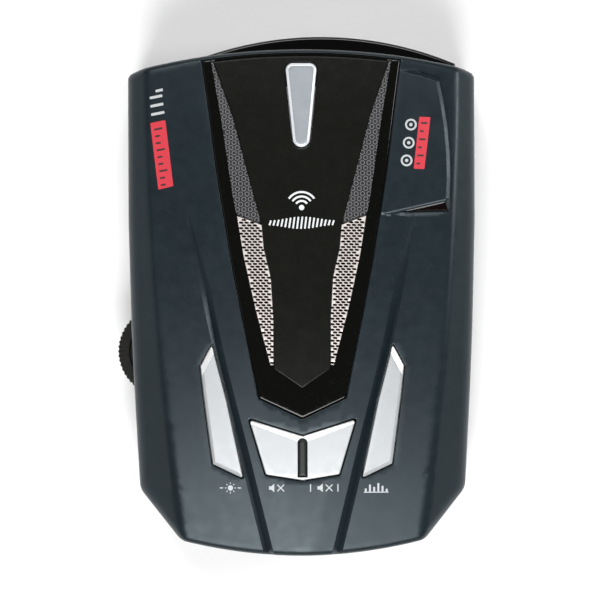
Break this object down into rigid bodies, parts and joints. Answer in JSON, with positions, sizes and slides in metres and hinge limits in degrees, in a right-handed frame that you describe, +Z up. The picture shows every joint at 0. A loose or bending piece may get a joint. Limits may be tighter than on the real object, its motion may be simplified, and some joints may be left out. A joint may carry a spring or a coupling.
{
  "type": "radar detector",
  "caption": "Windshield-mount radar and laser detector with V-shaped top panel, bracket release, key rocker, volume wheel, rear laser housing, front lens and display window.",
  "frame": {"origin": "centre of the flat underside", "axes": "+Y towards the windshield, +X to the right as the driver sees it, +Z up out of the keys"},
  "size_m": [0.0737, 0.1068, 0.0309],
  "materials": {
    "case_top": "moulded, fine satin grain, dark slate grey",
    "case_bottom": "moulded, fine grain, near black",
    "lens_black": "gloss black",
    "bezel_gloss": "gloss black",
    "plate_satin": "satin black",
    "ring_print": "dark grey with fine embossed rings",
    "grille_metal": "pale metal mesh",
    "button_silver": "silver paint, bright bevelled edge",
    "latch_plastic": "moulded, fine grain",
    "spring_steel": "bright wire",
    "key_silver": "pale silver paint",
    "rib_grey": "satin grey",
    "pin_steel": "turned",
    "dome_rubber": "moulded silicone",
    "board_green": "solder mask, green",
    "screw_steel": "zinc plated",
    "window_dark": "dark red tinted, polished",
    "lens_clear": "clear moulded lens",
    "display_black": "moulded, matt black",
    "cable_amber": "flat flexible cable, amber",
    "chip_black": "moulded package",
    "capacitor_can": "drawn can",
    "shield_tin": "tinned sheet",
    "horn_cast": "as cast",
    "speaker_steel": "black stamped steel",
    "magnet_iron": "sintered, dark grey",
    "cone_black": "thin moulded film",
    "gasket_rubber": "foam ring",
    "wire_red": "insulated wire",
    "wheel_black": "knurled rim",
    "pot_grey": "moulded",
    "rotor_ivory": "moulded",
    "jack_black": "moulded",
    "contact_brass": "plated",
    "case_screw_dark": "black zinc",
    "label_paper": "blank foil label"
  },
  "bodies": {
    "case": {"top_cover": "case_top", "bottom_cover": "case_bottom", "front_lens": "lens_black", "panel_bezel": "bezel_gloss", "panel_plate": "plate_satin", "ring_strip_left": "ring_print", "ring_strip_right": "ring_print", "grille_left": "grille_metal", "grille_right": "grille_metal", "release_spring": "spring_steel", "mute_pivot_pin": "pin_steel", "dim_dome": "dome_rubber", "city_dome": "dome_rubber", "mute_domes": "dome_rubber", "key_board": "board_green", "key_board_screws": "screw_steel", "rear_laser_window": "window_dark", "rear_laser_lens": "lens_clear", "rear_laser_board": "board_green", "front_laser_lens": "lens_clear", "front_laser_board": "board_green", "display_window": "window_dark", "display_module": "display_black", "display_board": "board_green", "display_cable": "cable_amber", "main_board": "board_green", "main_board_screws": "screw_steel", "chips": "chip_black", "capacitors": "capacitor_can", "shield_can": "shield_tin", "horn_lower": "horn_cast", "horn_upper": "horn_cast", "horn_screws": "screw_steel", "rf_board": "board_green", "speaker_frame": "speaker_steel", "speaker_magnet": "magnet_iron", "speaker_cone": "cone_black", "speaker_gasket": "gasket_rubber", "speaker_wires": "wire_red", "pot_body": "pot_grey", "power_jack": "jack_black", "power_jack_pin": "contact_brass", "earphone_jack": "jack_black", "case_screws": "case_screw_dark", "underside_label": "label_paper", "key_cable": "cable_amber", "bracket_sleeve": "latch_plastic"},
    "dim_button": {"dim_key": "key_silver"},
    "city_button": {"city_key": "key_silver"},
    "mute_rocker": {"mute_key": "key_silver", "mute_key_rib": "rib_grey"},
    "release": {"release_button": "button_silver", "release_latch": "latch_plastic"},
    "volume": {"volume_wheel": "wheel_black", "pot_rotor": "rotor_ivory", "wheel_screw": "screw_steel"}
  },
  "joints": [
    {"name": "dim_press", "type": "slide", "parent": "case", "child": "dim_button", "axis": [0, 0, -1], "range_m": [0, 0.0008], "stiffness_N_per_m": 300, "deforming": ["dim_dome"]},
    {"name": "city_press", "type": "slide", "parent": "case", "child": "city_button", "axis": [0, 0, -1], "range_m": [0, 0.0008], "stiffness_N_per_m": 300, "deforming": ["city_dome"]},
    {"name": "mute_rock", "type": "hinge", "parent": "case", "child": "mute_rocker", "pos_m": [0, -0.032, 0.0236], "axis": [0, 1, 0], "range_deg": [-2.5, 2.5], "stiffness_Nm_per_rad": 0.02, "deforming": ["mute_domes"]},
    {"name": "release_press", "type": "slide", "parent": "case", "child": "release", "axis": [0, 0, -1], "range_m": [0, 0.0012], "stiffness_N_per_m": 400, "deforming": ["release_spring"]},
    {"name": "volume_turn", "type": "hinge", "parent": "case", "child": "volume", "pos_m": [-0.0287, -0.0113, 0.0121], "axis": [0, 0, 1], "range_deg": [-135, 135]}
  ]
}
